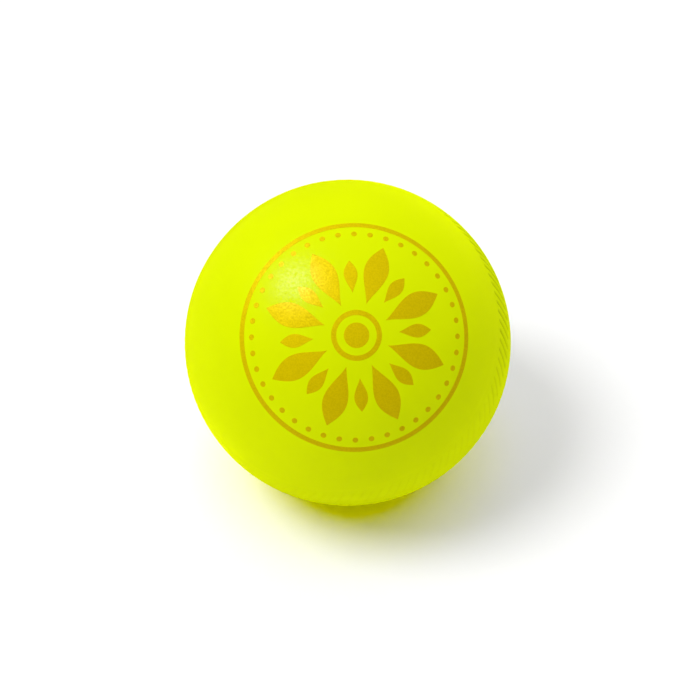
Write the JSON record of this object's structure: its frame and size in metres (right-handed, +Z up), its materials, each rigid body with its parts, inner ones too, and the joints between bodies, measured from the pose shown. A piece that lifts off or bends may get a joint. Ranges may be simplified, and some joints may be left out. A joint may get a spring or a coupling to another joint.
{
  "type": "plastic cricket ball",
  "caption": "Hollow plastic practice cricket ball: moulded half shells with slanted stitches along the seam, joined by a tongue and groove and held by a weld.",
  "frame": {"origin": "the ball's centre", "axes": "+Z up, as the ball lies on a floor. The front pole, in the middle of the half with the print, leans 33.2 degrees from +Z towards -Y and is turned 16.5 degrees from there towards -X; the seam lies in the plane square to that pole."},
  "size_m": [0.072, 0.072, 0.0718],
  "materials": {
    "front_shell": "satin",
    "rear_shell": "satin",
    "weld": "matte",
    "gold_print": "satin"
  },
  "bodies": {
    "root": {"front_shell": "front_shell", "rear_shell": "rear_shell", "weld_bead": "weld"}
  },
  "joints": []
}
